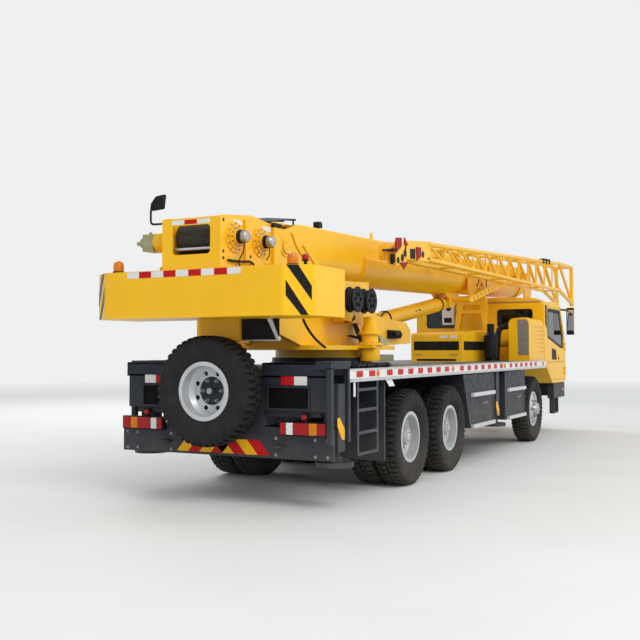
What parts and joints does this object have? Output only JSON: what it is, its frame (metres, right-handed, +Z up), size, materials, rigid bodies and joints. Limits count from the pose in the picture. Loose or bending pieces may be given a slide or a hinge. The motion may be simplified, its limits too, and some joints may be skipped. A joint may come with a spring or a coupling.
{
  "type": "truck crane",
  "caption": "Truck-mounted telescopic crane stowed for the road, with slewing upper, luffing boom, sliding outriggers, stowed lattice jib and driver's cab.",
  "frame": {"origin": "on the ground under the middle of the crane's bounding box", "axes": "+X forward, +Y to the vehicle's left, +Z up"},
  "size_m": [12.8998, 2.76, 3.337],
  "materials": {
    "yellow_paint": "semi-gloss",
    "chassis_paint": "satin",
    "tyre_rubber": "matt",
    "rim_paint": "satin",
    "bare_steel": "satin",
    "dark_plastic": "matt",
    "deck_paint": "satin",
    "lamp_plastic": "gloss"
  },
  "bodies": {
    "front_wheel_left": {"front_tyre_left": "tyre_rubber", "front_rim_left": "rim_paint"},
    "front_wheel_right": {"front_tyre_right": "tyre_rubber", "front_rim_right": "rim_paint"},
    "middle_wheels_left": {"middle_tyres_left": "tyre_rubber", "middle_rims_left": "rim_paint"},
    "middle_wheels_right": {"middle_tyres_right": "tyre_rubber", "middle_rims_right": "rim_paint"},
    "rear_wheels_left": {"rear_tyres_left": "tyre_rubber", "rear_rims_left": "rim_paint"},
    "rear_wheels_right": {"rear_tyres_right": "tyre_rubber", "rear_rims_right": "rim_paint"},
    "knuckle_left": {"knuckle_left": "chassis_paint"},
    "knuckle_right": {"knuckle_right": "chassis_paint"},
    "upper": {"turntable": "yellow_paint", "side_plates": "yellow_paint", "counterweight": "yellow_paint", "winch_gear": "yellow_paint", "slew_drive": "yellow_paint", "hose_reels": "dark_plastic", "operator_cab": "yellow_paint"},
    "operator_door": {"operator_door": "yellow_paint"},
    "rear_winch": {"rear_winch_drum": "yellow_paint"},
    "front_winch": {"front_winch_drum": "yellow_paint"},
    "boom": {"boom_base": "yellow_paint", "lattice_jib": "yellow_paint"},
    "boom_section_2": {"boom_section_2": "yellow_paint"},
    "boom_section_3": {"boom_section_3": "yellow_paint"},
    "boom_section_4": {"boom_section_4": "yellow_paint"},
    "boom_section_5": {"boom_section_5": "yellow_paint"},
    "hook_block": {"hook_block": "yellow_paint"},
    "luff_barrel": {"luff_barrel": "yellow_paint"},
    "luff_rod": {"luff_rod": "yellow_paint"},
    "cab_door_left": {"cab_door_left": "yellow_paint"},
    "cab_door_right": {"cab_door_right": "yellow_paint"},
    "front_beam_left": {"front_beam_left": "chassis_paint"},
    "front_jack_left": {"front_jack_left": "chassis_paint"},
    "front_beam_right": {"front_beam_right": "chassis_paint"},
    "front_jack_right": {"front_jack_right": "chassis_paint"},
    "rear_beam_left": {"rear_beam_left": "chassis_paint"},
    "rear_jack_left": {"rear_jack_left": "chassis_paint"},
    "rear_beam_right": {"rear_beam_right": "chassis_paint"},
    "rear_jack_right": {"rear_jack_right": "chassis_paint"},
    "chassis": {"air_intake": "yellow_paint", "axles": "chassis_paint", "boom_rest": "yellow_paint", "cab_interior": "dark_plastic", "cab_shell": "yellow_paint", "chassis_frame": "chassis_paint", "deck": "deck_paint", "engine_block": "chassis_paint", "engine_hood": "yellow_paint", "exhaust": "bare_steel", "front_bumper": "chassis_paint", "side_equipment": "chassis_paint", "slewing_ring": "chassis_paint", "spare_rim": "rim_paint", "spare_tyre": "tyre_rubber", "steps_and_ladders": "bare_steel", "tail_lamps": "lamp_plastic"}
  },
  "joints": [
    {"name": "front_wheel_left_spin", "type": "hinge", "parent": "knuckle_left", "child": "front_wheel_left", "pos_m": [1.73, 1.103, 0.5425], "axis": [0, 1, 0], "continuous": true},
    {"name": "front_wheel_right_spin", "type": "hinge", "parent": "knuckle_right", "child": "front_wheel_right", "pos_m": [1.73, -1.103, 0.5425], "axis": [0, 1, 0], "continuous": true},
    {"name": "middle_wheels_left_spin", "type": "hinge", "parent": "chassis", "child": "middle_wheels_left", "pos_m": [-2.495, 1.103, 0.5425], "axis": [0, 1, 0], "continuous": true},
    {"name": "middle_wheels_right_spin", "type": "hinge", "parent": "chassis", "child": "middle_wheels_right", "pos_m": [-2.495, -1.103, 0.5425], "axis": [0, 1, 0], "continuous": true},
    {"name": "rear_wheels_left_spin", "type": "hinge", "parent": "chassis", "child": "rear_wheels_left", "pos_m": [-3.845, 1.103, 0.5425], "axis": [0, 1, 0], "continuous": true},
    {"name": "rear_wheels_right_spin", "type": "hinge", "parent": "chassis", "child": "rear_wheels_right", "pos_m": [-3.845, -1.103, 0.5425], "axis": [0, 1, 0], "continuous": true},
    {"name": "steer_left", "type": "hinge", "parent": "chassis", "child": "knuckle_left", "pos_m": [1.73, 0.9, 0.5425], "axis": [0, 0, 1], "range_deg": [-35, 35]},
    {"name": "steer_right", "type": "hinge", "parent": "chassis", "child": "knuckle_right", "pos_m": [1.73, -0.9, 0.5425], "axis": [0, 0, 1], "range_deg": [-35, 35]},
    {"name": "slew", "type": "hinge", "parent": "chassis", "child": "upper", "pos_m": [-3.695, 0, 1.44], "axis": [0, 0, 1], "continuous": true},
    {"name": "luff", "type": "hinge", "parent": "upper", "child": "boom", "pos_m": [-5.195, 0, 2.62], "axis": [0, -1, 0], "range_deg": [0, 78]},
    {"name": "luff_barrel_tilt", "type": "hinge", "parent": "upper", "child": "luff_barrel", "pos_m": [-2.945, 0, 1.8], "axis": [0, -1, 0], "range_deg": [0, 88.83]},
    {"name": "luff_rod_stroke", "type": "slide", "parent": "luff_barrel", "child": "luff_rod", "axis": [0.9908, 0, 0.1351], "range_m": [0, 2.8876]},
    {"name": "telescope_2", "type": "slide", "parent": "boom", "child": "boom_section_2", "axis": [0.9997, 0, 0.0262], "range_m": [0, 7.3]},
    {"name": "telescope_3", "type": "slide", "parent": "boom_section_2", "child": "boom_section_3", "axis": [0.9997, 0, 0.0262], "range_m": [0, 7.3]},
    {"name": "telescope_4", "type": "slide", "parent": "boom_section_3", "child": "boom_section_4", "axis": [0.9997, 0, 0.0262], "range_m": [0, 7.3]},
    {"name": "telescope_5", "type": "slide", "parent": "boom_section_4", "child": "boom_section_5", "axis": [0.9997, 0, 0.0262], "range_m": [0, 7.3]},
    {"name": "hook_hang", "type": "hinge", "parent": "boom_section_5", "child": "hook_block", "pos_m": [5.62229, 0, 2.48312], "axis": [0, 1, 0], "range_deg": [0, 78.5]},
    {"name": "rear_winch_turn", "type": "hinge", "parent": "upper", "child": "rear_winch", "pos_m": [-6.185, 0, 2.61], "axis": [0, 1, 0], "continuous": true},
    {"name": "front_winch_turn", "type": "hinge", "parent": "upper", "child": "front_winch", "pos_m": [-5.705, 0, 2.61], "axis": [0, 1, 0], "continuous": true},
    {"name": "operator_door_slide", "type": "slide", "parent": "upper", "child": "operator_door", "axis": [-1, 0, 0], "range_m": [0, 0.5]},
    {"name": "cab_door_left_hinge", "type": "hinge", "parent": "chassis", "child": "cab_door_left", "pos_m": [4.198, 1.214, 1.5], "axis": [0, 0, -1], "range_deg": [0, 65]},
    {"name": "cab_door_right_hinge", "type": "hinge", "parent": "chassis", "child": "cab_door_right", "pos_m": [4.198, -1.214, 1.5], "axis": [0, 0, 1], "range_deg": [0, 65]},
    {"name": "front_beam_left_slide", "type": "slide", "parent": "chassis", "child": "front_beam_left", "axis": [0, 1, 0], "range_m": [0, 1.75]},
    {"name": "front_jack_left_drop", "type": "slide", "parent": "front_beam_left", "child": "front_jack_left", "axis": [0, 0, -1], "range_m": [0, 0.5]},
    {"name": "front_beam_right_slide", "type": "slide", "parent": "chassis", "child": "front_beam_right", "axis": [0, -1, 0], "range_m": [0, 1.75]},
    {"name": "front_jack_right_drop", "type": "slide", "parent": "front_beam_right", "child": "front_jack_right", "axis": [0, 0, -1], "range_m": [0, 0.5]},
    {"name": "rear_beam_left_slide", "type": "slide", "parent": "chassis", "child": "rear_beam_left", "axis": [0, 1, 0], "range_m": [0, 1.75]},
    {"name": "rear_jack_left_drop", "type": "slide", "parent": "rear_beam_left", "child": "rear_jack_left", "axis": [0, 0, -1], "range_m": [0, 0.5]},
    {"name": "rear_beam_right_slide", "type": "slide", "parent": "chassis", "child": "rear_beam_right", "axis": [0, -1, 0], "range_m": [0, 1.75]},
    {"name": "rear_jack_right_drop", "type": "slide", "parent": "rear_beam_right", "child": "rear_jack_right", "axis": [0, 0, -1], "range_m": [0, 0.5]}
  ],
  "couplings": [
    {"joint": "steer_right", "follows": "steer_left", "ratio": 1},
    {"joint": "luff_barrel_tilt", "follows": "luff", "ratio": 1.1325},
    {"joint": "luff_rod_stroke", "follows": "luff", "m_per_rad": 2.1138},
    {"joint": "hook_hang", "follows": "luff", "ratio": 1},
    {"joint": "telescope_4", "follows": "telescope_3", "ratio": 1},
    {"joint": "telescope_5", "follows": "telescope_3", "ratio": 1}
  ]
}
